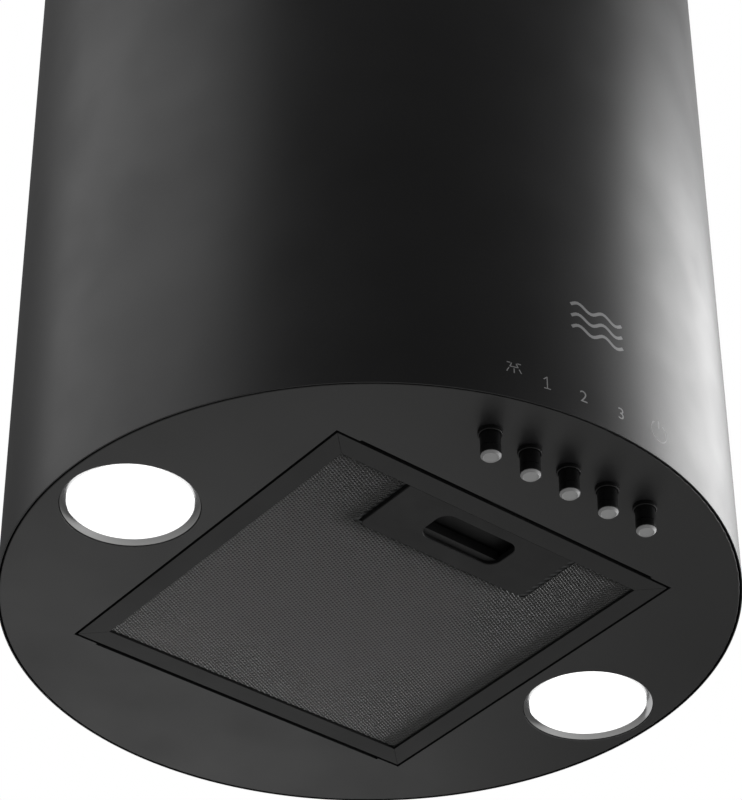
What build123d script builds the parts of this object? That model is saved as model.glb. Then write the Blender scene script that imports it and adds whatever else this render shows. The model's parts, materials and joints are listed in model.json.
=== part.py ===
"""Round island range hood, hung from a ceiling.

Frame: millimetres, +Z up. The origin is the centre of the ceiling bolt circle on the ceiling
plate's top face, the hood hangs below it, and the controls face -Y.
"""
from build123d import *
import os
from math import cos, radians, sin, sqrt

os.makedirs("parts", exist_ok=True)

# ---- driving dimensions ---------------------------------------------------------------
overall_drop = 900.0  # ceiling to the underside of the hood, as hung
hood_dia = 370.0
casing_height = 560.0
casing_wall = 1.0
sleeve_wall = 0.8
sleeve_gap = 2.0  # casing to sleeve, all round
drop_up_travel = 110.0  # how far the hood can be hung higher than shown
drop_down_travel = 90.0  # and lower
sleeve_end_clear = 18.5  # sleeve's lower end to the deck, with the hood at its highest
rail_end_clear = 88.5  # upper rails' lower end to the deck, likewise

sheet = 1.5  # brackets, deck and rails
board_t = 1.6
seat_gap = 0.3  # between pieces of different bodies that pass each other
spring_wire = 0.35  # wire radius of every coil spring
slip = 0.05  # radial clearance of a pin or shaft that turns in its bore

# ---- ceiling plate and rails ------------------------------------------------------------
ceiling_plate_t = 2.0
ceiling_rim = 16.0
ceiling_pcd = 290.0
ceiling_hole_r = 4.0
duct_r = 75.0  # 150 mm duct
duct_hole_r = duct_r + 6.0
cable_hole_r = 10.0
rail_leg = 20.0
rail_inset = 18.5  # rail corner to the sleeve's inner wall
rail_slot_w = 5.0
bolt_r = 2.0
bolt_head_r = 3.8
bolt_head_h = 2.4
nut_r = 3.5
nut_h = 3.0
rail_overlap = 80.0  # upper and lower rails, with the hood at its lowest
rail_bolt_inset = 15.0  # bolt to the lower rail's end
rail_gauge = 11.0  # bolt line to the rail's corner
sleeve_head_r = 3.4
sleeve_head_h = 1.6
sleeve_screw_grip = 6.0
box_to_duct = 21.0
box_to_sleeve = 34.0
box_half_y = 44.0
box_h = 34.0
box_wall = 1.5
deck_cable_r = 6.0
gland_bore_r = 4.5
gland_r = 6.5
gland_hex_r = 9.0
gland_hex_h = 6.0
gland_length = 23.0
gland_below = 3.0  # gland's lower end below the lid

# ---- deck and blower -------------------------------------------------------------------
deck_height = 300.0  # hood underside to the deck's lower face
deck_rim = 12.0
deck_rim_span = 60.0  # degrees that each turned-down stretch covers
deck_screw_grip = 8.0
clip_angle = 45.0
clip_leg = 14.0
clip_width = 20.0
clip_clear = 0.6  # clip's upright leg to the casing
blower_axis_height = 165.0
blower_half = 66.0  # half width of the scroll housing
blower_wall = 2.0
parting = 0.1  # each half stops this far from the split
blower_side_clear = 20.0  # scroll corner to casing
volute_growth = 28.0
tongue_gap = 12.0  # impeller to the scroll's cut-off
tongue_step = 6.0  # cut-off to the middle of the axle
bell_depth = 5.0
bell_t = 2.0
outlet_half_x = 62.0
outlet_half_y = 56.0
blade_depth = 12.0
blade_count = 32
blade_t = 1.2
grille_t = 2.5
grille_lap = 8.0  # grille's outer ring past the inlet
grille_ring_w = 3.0
grille_spoke_w = 3.5
grille_post_r = 3.0
impeller_clear = 4.0
impeller_ring_t = 2.5
impeller_disc_t = 2.0
blade_angle = 28.0
motor_length = 36.0
motor_cap_depth = 12.0
motor_cap_t = 2.0
bearing_w = 4.0
winding_depth = 7.0
winding_inset = 5.5
capacitor_r = 15.0
capacitor_h = 52.0
driver_half_x = 18.0
driver_half_y = 38.0
driver_h = 26.0
shaft_r = 4.0
air_gap = 0.4
collar_height = 60.0
collar_wall = 2.5
collar_flange_t = 3.0
flap_t = 1.2
flap_pin_r = 1.5
flap_barrel_r = 2.4
flap_y = 3.4  # each flap's hinge line, from the collar's middle
flap_clear = 0.8  # flap's edge to the collar's bore
flap_ledge_t = 2.0
flap_ledge_w = 3.0

# ---- bottom plate, filter, lamps and buttons -------------------------------------------
plate_t = 1.0
plate_skirt = 14.0
plate_seam = 0.35
lamp_r = 33.7
lamp_clear = 0.3  # plate hole to the bezel's rim
lamp_edge = 6.3  # bezel to the casing's outside
lamp_gap = 6.9  # bezel to the filter opening
lens_r = 30.4
lamp_depth = 30.0
button_inset = 35.0  # row of buttons to the casing's outside
button_margin = 42.4  # row of buttons to the filter opening
button_pitch = 24.0
button_count = 5
button_r = 4.9
button_reach = 15.0  # how far a button stands below the plate
button_clear = 0.3
button_lip = 0.05  # cap's edge past its stem
button_cap_h = 5.5
button_travel_room = 3.2  # flange to the bottom plate
collar_ring_wall = 0.6
collar_ring_h = 2.3
collar_ring_edge = 0.5
housing_half_y = 13.5
housing_end = 14.0  # outermost button to the housing's end
housing_h = 34.0
housing_wall = 2.0
housing_corner = 3.0
board_inset = 4.0
switch_size = 3.6
switch_h = 4.0
flange_h = 2.0
flange_lap = 1.6
plunger_r = 2.4
peg_r = 3.0
peg_h = 3.0
filter_t = 9.0
filter_gap = 1.5
frame_bar = 11.3
relief_step = 1.0
relief_inset = 13.8
mesh_recess = 1.6
mesh_t = 0.8
handle_x = 101.0
handle_y = 39.3
handle_depth = 10.5
handle_wall = 1.6
handle_corner = 3.5
slot_x = 46.7
slot_y = 21.3
slot_corner = 6.5
slot_edge = 0.6  # rounding of the finger slot's rim
handle_edge = 0.35  # bevel round the handle's lower edge
slot_front = 7.0  # handle's front edge to the finger slot
latch_t = 2.0
tongue_half = 12.0
tongue_reach = 5.0
latch_clear = 0.4
latch_lap = 4.5  # slide's body past the finger slot
latch_bar_w = 6.0
latch_bar_h = 5.5
latch_bar_in = 4.1  # bar's front edge to the slot's rear edge
ear_clear = 7.05
ear_depth = 5.0
ear_inset = 6.0
ear_half = 4.0

# ---- worked out -------------------------------------------------------------------------
hood_r = hood_dia / 2
floor_z = -overall_drop
casing_in_r = hood_r - casing_wall
casing_top = floor_z + casing_height
sleeve_r = casing_in_r - sleeve_gap
sleeve_in_r = sleeve_r - sleeve_wall
ceiling_r = sleeve_in_r - seat_gap
rail_corner = (sleeve_in_r - rail_inset) / sqrt(2)
rail_in_corner = rail_corner - sheet - seat_gap
rail_in_leg = rail_leg - sheet - seat_gap
deck_z = floor_z + deck_height
deck_top = deck_z + sheet
deck_r = casing_in_r - seat_gap
sleeve_low = deck_top + drop_up_travel + sleeve_end_clear
upper_rail_low = deck_top + drop_up_travel + rail_end_clear
lower_rail_top = upper_rail_low + drop_down_travel + rail_overlap
rail_bolt_z = lower_rail_top - rail_bolt_inset

lamp_x = hood_r - lamp_edge - lamp_r
open_x = lamp_x - lamp_r - lamp_gap
button_y = -(hood_r - button_inset)
open_y = -button_y - button_margin
filter_x = open_x - filter_gap
filter_y = open_y - filter_gap
window_y = filter_y - frame_bar
handle_front = -window_y
slot_cy = handle_front + slot_front + slot_y / 2


def keep(piece, name):
    """Label a finished piece and write it to its own file."""
    piece.part.label = name
    export_step(piece.part, f"parts/{name}.step")


def drum(low, high, outer, inner=0.0):
    """Upright ring or disc between two heights, inside the current part."""
    with BuildSketch(Plane.XY.offset(low)) as section:
        Circle(outer)
        if inner > 0:
            Circle(inner, mode=Mode.SUBTRACT)
    extrude(section.sketch, amount=high - low)


def slab(low, high, x0, x1, y0, y1, mode=Mode.ADD):
    """Square-edged block between two heights, inside the current part."""
    with BuildSketch(Plane.XY.offset(low)) as section:
        with Locations(((x0 + x1) / 2, (y0 + y1) / 2)):
            Rectangle(x1 - x0, y1 - y0)
    extrude(section.sketch, amount=high - low, mode=mode)


def disc_on(plane, radius, depth, mode=Mode.ADD, inner=0.0):
    """Round boss or hole along a plane's normal, inside the current part."""
    with BuildSketch(plane) as section:
        Circle(radius)
        if inner > 0:
            Circle(inner, mode=Mode.SUBTRACT)
    extrude(section.sketch, amount=depth, mode=mode)


def coil_spring(low_end, direction, length, radius, turns):
    """Compression spring whose outermost wire fits the given length, inside the current part."""
    way = Vector(*direction)
    start = Vector(*low_end) + way * spring_wire * 1.2
    height = length - 2.4 * spring_wire
    with BuildLine() as coil:
        Helix(height / turns, height, radius, center=start, direction=way)
    with BuildSketch(Plane(origin=coil.line @ 0, z_dir=coil.line % 0)) as section:
        Circle(spring_wire)
    sweep(section.sketch, path=coil.line)


def pan_screw(seat, grip):
    """Pan-head screw: the seat plane lies under the head and its normal points out of it."""
    disc_on(seat, bolt_head_r, bolt_head_h)
    disc_on(seat.offset(-grip), bolt_r, grip)


# ============================ ceiling: fixed to the building ================================
box_x0 = duct_r + box_to_duct
box_x1 = sleeve_in_r - box_to_sleeve
gland_at = ((box_x0 + box_x1) / 2, box_half_y / 2)
sleeve_screw_z = -(ceiling_plate_t + ceiling_rim) / 2

with BuildPart() as ceiling_plate:
    with BuildSketch(Plane.XY.offset(-ceiling_plate_t)):
        Circle(ceiling_r)
        Circle(duct_hole_r, mode=Mode.SUBTRACT)
        with PolarLocations(ceiling_pcd / 2, 4):
            Circle(ceiling_hole_r, mode=Mode.SUBTRACT)
        with Locations(gland_at):  # the mains cable drops straight to its gland
            Circle(cable_hole_r, mode=Mode.SUBTRACT)
    extrude(amount=ceiling_plate_t)
    drum(-ceiling_rim, -ceiling_plate_t, ceiling_r, ceiling_r - ceiling_plate_t)
    for across in (Plane.XZ, Plane.YZ):
        with BuildSketch(across):
            with Locations((0, sleeve_screw_z)):
                Circle(bolt_r + slip)
        extrude(amount=hood_r, both=True, mode=Mode.SUBTRACT)
keep(ceiling_plate, "ceiling_plate")

with BuildPart() as upper_sleeve:
    drum(sleeve_low, 0, sleeve_r, sleeve_in_r)
    for across in (Plane.XZ, Plane.YZ):
        with BuildSketch(across):
            with Locations((0, sleeve_screw_z)):
                Circle(bolt_r + slip)
        extrude(amount=hood_r, both=True, mode=Mode.SUBTRACT)
keep(upper_sleeve, "upper_sleeve")

with BuildPart() as sleeve_screws:
    for turn in range(4):
        out = Vector(0, -1, 0).rotate(Axis.Z, 90 * turn)
        seat = Plane(origin=out * sleeve_r + Vector(0, 0, sleeve_screw_z), z_dir=out)
        disc_on(seat, sleeve_head_r, sleeve_head_h)
        disc_on(seat.offset(-sleeve_screw_grip), bolt_r, sleeve_screw_grip)
keep(sleeve_screws, "sleeve_screws")


def angle_bars(corner, leg, low, high):
    """Four steel angles, corners outward, one in each quarter."""
    with BuildSketch(Plane.XY.offset(low)) as section:
        with BuildLine():
            Polyline(
                (corner, corner),
                (corner - leg, corner),
                (corner - leg, corner - sheet),
                (corner - sheet, corner - sheet),
                (corner - sheet, corner - leg),
                (corner, corner - leg),
                close=True,
            )
        make_face()
        mirror(about=Plane.YZ)
        mirror(about=Plane.XZ)
    extrude(section.sketch, amount=high - low)


rail_line = rail_corner - rail_gauge  # where the bolts cross a leg, from the middle
slot_high = rail_bolt_z + drop_up_travel + rail_slot_w
slot_low = rail_bolt_z - drop_down_travel - rail_slot_w

with BuildPart() as upper_rails:
    angle_bars(rail_corner, rail_leg, upper_rail_low, -ceiling_plate_t)
    for across in (Plane.XZ, Plane.YZ):
        with BuildSketch(across):
            with Locations(
                (rail_line, (slot_high + slot_low) / 2), (-rail_line, (slot_high + slot_low) / 2)
            ):
                SlotOverall(slot_high - slot_low, rail_slot_w, rotation=90)
        extrude(amount=hood_r, both=True, mode=Mode.SUBTRACT)
keep(upper_rails, "upper_rails")

# ============================ hood: everything that hangs on the rails ======================
with BuildPart() as lower_rails:
    angle_bars(rail_in_corner, rail_in_leg, deck_top, lower_rail_top)
    for across in (Plane.XZ, Plane.YZ):
        with BuildSketch(across):
            with Locations((rail_line, rail_bolt_z), (-rail_line, rail_bolt_z)):
                Circle(bolt_r + slip)
        extrude(amount=hood_r, both=True, mode=Mode.SUBTRACT)
keep(lower_rails, "lower_rails")


# deck: ties rails, blower and casing together
clip_reach = casing_in_r - clip_clear
clip_r = clip_reach - clip_leg / 2  # where a clip's screw stands

with BuildPart() as deck:
    with BuildSketch(Plane.XY.offset(deck_z)):
        Circle(deck_r)
        Rectangle(2 * outlet_half_x, 2 * outlet_half_y, mode=Mode.SUBTRACT)
        with PolarLocations(clip_r, 4, start_angle=clip_angle):
            Circle(bolt_r + slip, mode=Mode.SUBTRACT)
        with Locations(((box_x0 + box_x1) / 2, 0)):
            Circle(deck_cable_r, mode=Mode.SUBTRACT)
    extrude(amount=sheet)
    for turn in range(4):
        first = 90 * turn - deck_rim_span / 2
        with BuildSketch(Plane.XY.offset(deck_z - deck_rim)):
            with BuildLine():
                CenterArc((0, 0), deck_r, first, deck_rim_span)
                CenterArc((0, 0), deck_r - sheet, first, deck_rim_span)
                for a in (first, first + deck_rim_span):
                    Line(
                        (deck_r * cos(radians(a)), deck_r * sin(radians(a))),
                        ((deck_r - sheet) * cos(radians(a)), (deck_r - sheet) * sin(radians(a))),
                    )
            make_face()
        extrude(amount=deck_rim)
keep(deck, "deck")

with BuildPart() as outer_casing:
    drum(floor_z, casing_top, hood_r, casing_in_r)
    rim_edges = outer_casing.edges().group_by(Axis.Z)[0] + outer_casing.edges().group_by(Axis.Z)[-1]
    fillet(rim_edges, casing_wall * 0.35)
keep(outer_casing, "outer_casing")


def wall_clip(low, leg_low, angle):
    """Bent steel clip welded inside the casing: a level foot and an upright leg."""
    out = Vector(1, 0, 0).rotate(Axis.Z, angle)
    flat = Plane(origin=Vector(0, 0, low), x_dir=out, z_dir=(0, 0, 1))
    with BuildSketch(flat) as foot:
        with Locations((clip_r, 0)):
            Rectangle(clip_leg, clip_width)
        with Locations((clip_r, 0)):
            Circle(bolt_r + slip, mode=Mode.SUBTRACT)
    extrude(foot.sketch, amount=sheet)
    with BuildSketch(flat.offset(leg_low - low)) as leg:
        with Locations((clip_reach - sheet / 2, 0)):
            Rectangle(sheet, clip_width)
    extrude(leg.sketch, amount=clip_leg)


clip_top = deck_z - sheet
plate_clip_z = floor_z + plate_t + plate_skirt + 2.0
with BuildPart() as casing_clips:
    for turn in range(4):
        wall_clip(clip_top, clip_top - clip_leg, 90 * turn + clip_angle)
        wall_clip(plate_clip_z, plate_clip_z, 90 * turn + clip_angle)
keep(casing_clips, "casing_clips")

# rail bolts with their nuts, and the screws that hold the deck to the clips
with BuildPart() as hood_screws:
    for turn in range(4):
        for side in (-1, 1):
            out = Vector(0, -1, 0).rotate(Axis.Z, 90 * turn)
            along = Vector(1, 0, 0).rotate(Axis.Z, 90 * turn)
            foot = along * (side * rail_line) + Vector(0, 0, rail_bolt_z)
            seat = Plane(origin=foot + out * (rail_corner + seat_gap), z_dir=out)
            inner = Plane(origin=foot + out * (rail_in_corner - sheet), z_dir=-out)
            disc_on(seat, bolt_head_r, bolt_head_h)
            disc_on(seat.offset(-(2 * sheet + 2 * seat_gap)), bolt_r, 2 * sheet + 2 * seat_gap)
            disc_on(inner, nut_r, nut_h)
    for turn in range(4):
        spot = Vector(clip_r, 0, deck_top).rotate(Axis.Z, 90 * turn + clip_angle)
        pan_screw(Plane(origin=spot, z_dir=(0, 0, 1)), deck_screw_grip)
keep(hood_screws, "hood_screws")

# ============================ blower =========================================================
grille_x = blower_half + grille_t
far_y = sqrt((casing_in_r - blower_side_clear) ** 2 - grille_x**2)
volute_start = (far_y + outlet_half_y - blower_wall - volute_growth * 4 / 3) / 2
impeller_r = volute_start - tongue_gap
volute_end = volute_start + volute_growth
blower_y = outlet_half_y - volute_end
blower_z = floor_z + blower_axis_height
blade_in_r = impeller_r - blade_depth
inlet_r = blade_in_r - 2.0
motor_r = blade_in_r - 20.0
bore_r = motor_r - 17.0
rotor_r = bore_r - air_gap
bearing_r = shaft_r + 4.5
impeller_half = blower_half - blower_wall - impeller_clear
motor_x0 = -impeller_half + 16.0
motor_x1 = motor_x0 + motor_length
shaft_x0 = motor_x0 - motor_cap_depth - 1.0
hub_x = motor_x1 + motor_cap_depth + impeller_disc_t
shaft_x1 = hub_x + 12.0


def across_x(x):
    """Plane square to the blower's axle at x, local axes +Y and +Z, centred on the axle."""
    return Plane(origin=(x, blower_y, blower_z), x_dir=(0, 1, 0), z_dir=(1, 0, 0))


def volute(x, grow, depth, mode=Mode.ADD):
    """Scroll outline with its upright outlet, grown outwards, pulled along the axle."""
    top = deck_z - blower_z
    steps = [
        (volute_end + grow - volute_growth * k / 9, radians(-30 * k)) for k in range(10)
    ]
    spiral = [(r * cos(a), r * sin(a)) for r, a in steps]
    inner_wall = tongue_step - grow
    with BuildSketch(across_x(x)) as outline:
        with BuildLine():
            Spline(*spiral, tangents=((0, -1), (1, 0)))
            Polyline(spiral[-1], (inner_wall, spiral[-1][1]), (inner_wall, top))
            Polyline((inner_wall, top), (spiral[0][0], top), spiral[0])
        make_face()
    extrude(outline.sketch, amount=depth, mode=mode)


def scroll_half(name, side):
    """One half of the scroll housing, split across the axle, with its inlet bell."""
    with BuildPart() as half:
        if side < 0:
            volute(-blower_half, blower_wall, blower_half - parting)
            volute(-blower_half + blower_wall, 0, blower_half, Mode.SUBTRACT)
            disc_on(across_x(-blower_half), inlet_r, blower_wall, Mode.SUBTRACT)
            disc_on(across_x(-blower_half), inlet_r + bell_t, bell_depth, inner=inlet_r)
        else:
            volute(parting, blower_wall, blower_half - parting)
            volute(0, 0, blower_half - blower_wall, Mode.SUBTRACT)
            disc_on(across_x(blower_half - blower_wall), inlet_r, blower_wall, Mode.SUBTRACT)
            disc_on(across_x(blower_half - bell_depth), inlet_r + bell_t, bell_depth, inner=inlet_r)
    keep(half, name)


scroll_half("scroll_left", -1)
scroll_half("scroll_right", 1)


grille_mid_r = (inlet_r + motor_r) / 2
with BuildPart() as inlet_grilles:
    for x in (-grille_x, blower_half):
        with BuildSketch(across_x(x)):
            Circle(inlet_r + grille_lap)
            Circle(inlet_r - 1.5, mode=Mode.SUBTRACT)
            Circle(grille_mid_r)
            Circle(grille_mid_r - grille_ring_w, mode=Mode.SUBTRACT)
            Circle(motor_r * 0.6)
            with PolarLocations(inlet_r / 2 + 4, 6):
                Rectangle(inlet_r, grille_spoke_w)
        extrude(amount=grille_t)
    with BuildSketch(across_x(-blower_half)):
        with PolarLocations(motor_r * 0.45, 3, start_angle=30):
            Circle(grille_post_r)
    extrude(amount=motor_x0 - motor_cap_depth + blower_half)
keep(inlet_grilles, "inlet_grilles")

with BuildPart() as motor_core:
    disc_on(across_x(motor_x0), motor_r, motor_length, inner=bore_r)
keep(motor_core, "motor_core")

with BuildPart() as motor_windings:
    for x in (motor_x0 - winding_depth, motor_x1):
        with BuildSketch(across_x(x)):
            Circle(motor_r - winding_inset)
            Circle(bore_r + motor_cap_t, mode=Mode.SUBTRACT)
        extrude(amount=winding_depth)
keep(motor_windings, "motor_windings")

with BuildPart() as motor_caps:
    for x, face in ((motor_x0 - motor_cap_depth, 0.0), (motor_x1, motor_cap_depth - motor_cap_t)):
        disc_on(across_x(x), motor_r, motor_cap_depth, inner=motor_r - motor_cap_t)
        disc_on(across_x(x + face), motor_r, motor_cap_t, inner=bearing_r)
keep(motor_caps, "motor_caps")

with BuildPart() as motor_bearings:
    for x in (motor_x0 - motor_cap_depth, motor_x1 + motor_cap_depth - bearing_w):
        disc_on(across_x(x), bearing_r, bearing_w, inner=shaft_r + slip)
keep(motor_bearings, "motor_bearings")

with BuildPart() as motor_rotor:
    disc_on(across_x(motor_x0 - 1.0), rotor_r, motor_length + 2.0, inner=shaft_r)
keep(motor_rotor, "motor_rotor")

with BuildPart() as motor_shaft:
    disc_on(across_x(shaft_x0), shaft_r, shaft_x1 - shaft_x0)
keep(motor_shaft, "motor_shaft")

with BuildPart() as impeller:
    with BuildSketch(across_x(-impeller_half)):
        with PolarLocations((impeller_r + blade_in_r) / 2, blade_count):
            Rectangle(blade_depth, blade_t, rotation=blade_angle)
    extrude(amount=2 * impeller_half)
    for x in (-impeller_half, impeller_half - impeller_ring_t):
        disc_on(across_x(x), impeller_r, impeller_ring_t, inner=blade_in_r)
    disc_on(across_x(hub_x), impeller_r - impeller_disc_t, impeller_disc_t, inner=shaft_r)
    disc_on(across_x(hub_x), shaft_r + 6, shaft_x1 - hub_x - 2.0, inner=shaft_r)
keep(impeller, "impeller")

capacitor_at = ((grille_x + casing_in_r - capacitor_r) / 2, outlet_half_y + capacitor_r)
with BuildPart() as capacitor:
    with Locations(Plane(origin=(capacitor_at[0], capacitor_at[1], deck_z), z_dir=(0, 0, -1))):
        Cylinder(capacitor_r, capacitor_h, align=(Align.CENTER, Align.CENTER, Align.MIN))
    fillet(capacitor.edges().group_by(Axis.Z)[0], 2.0)
keep(capacitor, "capacitor")

driver_x = -(grille_x + casing_in_r) / 2
with BuildPart() as lamp_driver:
    with BuildSketch(Plane.XY.offset(deck_z - driver_h)):
        with Locations((driver_x, 0)):
            Rectangle(2 * driver_half_x, 2 * driver_half_y)
    extrude(amount=driver_h)
    fillet(lamp_driver.edges().filter_by(Axis.Z), 3.0)
keep(lamp_driver, "lamp_driver")

# ============================ outlet collar, flaps, junction box ============================
collar_in_r = duct_r - collar_wall
collar_top = deck_top + collar_height
flap_z = deck_top + collar_height * 0.45
flap_r = collar_in_r - flap_clear

with BuildPart() as outlet_collar:
    slab(deck_top, deck_top + collar_flange_t, -duct_r - 8, duct_r + 8, -duct_r - 4, duct_r + 4)
    drum(deck_top, collar_top, duct_r)
    disc_on(Plane.XY.offset(deck_top), collar_in_r, collar_height, Mode.SUBTRACT)
    ledge_top = flap_z - flap_t / 2 - seat_gap
    drum(ledge_top - flap_ledge_t, ledge_top, collar_in_r + collar_wall / 2, collar_in_r - flap_ledge_w)
    with BuildSketch(Plane.YZ):
        with Locations((flap_y, flap_z), (-flap_y, flap_z)):
            Circle(flap_pin_r + slip)
    extrude(amount=duct_r + 1, both=True, mode=Mode.SUBTRACT)
keep(outlet_collar, "outlet_collar")


def damper_flap(name, side):
    """Half-round flap with its hinge pin; side is +1 for the rear half, -1 for the front."""
    with BuildPart() as flap:
        with BuildSketch(Plane.XY.offset(flap_z - flap_t / 2)):
            Circle(flap_r)
            with Locations((0, side * (flap_y - duct_r))):
                Rectangle(2 * duct_r, 2 * duct_r, mode=Mode.SUBTRACT)
        extrude(amount=flap_t)
        barrel = Plane(origin=(-flap_r + 4, side * flap_y, flap_z), z_dir=(1, 0, 0))
        disc_on(barrel, flap_barrel_r, 2 * (flap_r - 4))
        pin = Plane(origin=(-duct_r + seat_gap, side * flap_y, flap_z), z_dir=(1, 0, 0))
        disc_on(pin, flap_pin_r, 2 * (duct_r - seat_gap))
    keep(flap, name)


damper_flap("flap_rear", 1)
damper_flap("flap_front", -1)

with BuildPart() as junction_box:
    slab(deck_top, deck_top + box_h, box_x0, box_x1, -box_half_y, box_half_y)
    slab(
        deck_top + box_wall,
        deck_top + box_h,
        box_x0 + box_wall,
        box_x1 - box_wall,
        -box_half_y + box_wall,
        box_half_y - box_wall,
        Mode.SUBTRACT,
    )
    disc_on(Plane((((box_x0 + box_x1) / 2), 0, deck_top)), deck_cable_r, box_wall, Mode.SUBTRACT)
keep(junction_box, "junction_box")

lid_z = deck_top + box_h
with BuildPart() as junction_lid:
    slab(lid_z, lid_z + box_wall, box_x0, box_x1, -box_half_y, box_half_y)
    disc_on(Plane((*gland_at, lid_z)), gland_r + slip, box_wall, Mode.SUBTRACT)
keep(junction_lid, "junction_lid")

with BuildPart() as cable_gland:
    with BuildSketch(Plane.XY.offset(lid_z + box_wall)):
        with Locations(gland_at):
            RegularPolygon(gland_hex_r, 6)
    extrude(amount=gland_hex_h)
    disc_on(Plane((*gland_at, lid_z - gland_below)), gland_r, gland_length)
    disc_on(Plane((*gland_at, lid_z - gland_below)), gland_bore_r, gland_length, Mode.SUBTRACT)
keep(cable_gland, "cable_gland")

# ============================ bottom plate ===================================================
plate_top = floor_z + plate_t
plate_r = casing_in_r - plate_seam
lip_h = 10.0
hinge_inset = 2.2
hinge_rise = 3.0
hinge_y = filter_y - hinge_inset
hinge_z = floor_z + hinge_rise
hinge_pin_r = 1.5
bracket_y = 14.0  # the side lips stop this far before the rear edge
bracket_x0 = open_x + seat_gap
bracket_t = 4.0
button_xs = [button_pitch * (k - (button_count - 1) / 2) for k in range(button_count)]
button_spots = [(x, button_y) for x in button_xs]
collar_ring_r = button_r + button_clear + collar_ring_wall
button_hole_r = collar_ring_r - collar_ring_wall / 4

with BuildPart() as bottom_plate:
    with BuildSketch(Plane.XY.offset(floor_z)):
        Circle(plate_r)
        Rectangle(2 * open_x, 2 * open_y, mode=Mode.SUBTRACT)
        Rectangle(2 * (open_x - relief_inset), 2 * (open_y + relief_step), mode=Mode.SUBTRACT)
        with Locations((lamp_x, 0), (-lamp_x, 0)):
            Circle(lamp_r + lamp_clear, mode=Mode.SUBTRACT)
        with Locations(*button_spots):
            Circle(button_hole_r, mode=Mode.SUBTRACT)
    extrude(amount=plate_t)
    drum(plate_top, plate_top + plate_skirt, plate_r, plate_r - plate_t)
    fillet(bottom_plate.edges().group_by(Axis.Z)[0].sort_by(SortBy.LENGTH)[-1], plate_t * 0.6)
    for side in (-1, 1):
        inner = side * (open_x + plate_t / 2)
        with BuildSketch(Plane.XY.offset(plate_top)):
            with Locations((inner, -bracket_y / 2)):
                Rectangle(plate_t, 2 * open_y - bracket_y)
        extrude(amount=lip_h)
        with BuildSketch(Plane.XY.offset(plate_top)):
            with Locations((side * (open_x + tongue_half + 6) / 2, -open_y - relief_step - plate_t / 2)):
                Rectangle(open_x - tongue_half - 6, plate_t)
        extrude(amount=lip_h)
    slab(plate_top, plate_top + lip_h, -open_x, open_x, open_y + relief_step, open_y + relief_step + plate_t)
    for side in (-1, 1):
        x0 = bracket_x0 if side > 0 else -bracket_x0 - bracket_t
        slab(plate_top, plate_top + 7, x0, x0 + bracket_t, hinge_y - 6, hinge_y + 3)
    disc_on(
        Plane(origin=(-bracket_x0 - bracket_t - 1, hinge_y, hinge_z), z_dir=(1, 0, 0)),
        hinge_pin_r + slip,
        2 * (bracket_x0 + bracket_t + 1),
        Mode.SUBTRACT,
    )
keep(bottom_plate, "bottom_plate")

# ============================ lamps ==========================================================
bezel_t = 1.2
bezel_depth = 9.0
bezel_land = 0.3  # flat edge of the rim, level with the plate
lens_clear = 0.2
lens_recess = 2.3
lens_t = 2.0
lens_edge = 0.6
cup_base = 2.5
led_size = 3.5
led_count = 8
fin_reach = 2.2
fin_count = 24
fin_t = 1.2


def lamp(number, x):
    """Recessed round lamp: conical bezel flush with the plate, opal lens, LED board and cup."""
    throat_r = lens_r + lens_clear
    with BuildPart() as bezel:
        with BuildSketch(Plane(origin=(x, 0, floor_z), x_dir=(1, 0, 0), z_dir=(0, -1, 0))):
            with BuildLine():
                Polyline(
                    (lamp_r, 0),
                    (lamp_r - bezel_land, 0),
                    (throat_r, lens_recess),
                    (throat_r, bezel_depth),
                    (throat_r + bezel_t, bezel_depth),
                    (throat_r + bezel_t, lens_recess + bezel_t),
                    (lamp_r, bezel_t),
                    close=True,
                )
            make_face()
        revolve(axis=Axis((x, 0, floor_z), (0, 0, 1)))
    keep(bezel, f"lamp_{number}_bezel")

    centre = Plane((x, 0, floor_z))
    with BuildPart() as lens:
        disc_on(centre.offset(lens_recess), lens_r, lens_t)
        fillet(lens.edges().group_by(Axis.Z)[0], lens_edge)
    keep(lens, f"lamp_{number}_lens")

    with BuildPart() as board:
        disc_on(centre.offset(bezel_depth + 0.6), lens_r - 2, board_t)
        with BuildSketch(centre.offset(bezel_depth - 0.4)):
            with PolarLocations(lens_r * 0.55, led_count):
                Rectangle(led_size, led_size)
        extrude(amount=1.0)
    keep(board, f"lamp_{number}_board")

    with BuildPart() as cup:
        disc_on(centre.offset(bezel_depth), throat_r + bezel_t, lamp_depth - bezel_depth)
        inside = lamp_depth - bezel_depth - cup_base
        disc_on(centre.offset(bezel_depth), lens_r - 1.0, inside, Mode.SUBTRACT)
        with BuildSketch(centre.offset(bezel_depth + 6)):
            with PolarLocations(throat_r + bezel_t + fin_reach / 2 - 0.3, fin_count):
                Rectangle(fin_reach + 0.6, fin_t)
        extrude(amount=lamp_depth - bezel_depth - 8)
    keep(cup, f"lamp_{number}_cup")


lamp(1, -lamp_x)
lamp(2, lamp_x)

# ============================ controls =======================================================
housing_half_x = button_xs[-1] + housing_end
stem_top = 18.6  # stem's inner end, above the hood's underside
flange_low = plate_t + button_travel_room
flange_r = button_r + flange_lap
spring_r = 3.4
board_low = housing_h - 8.0

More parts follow.
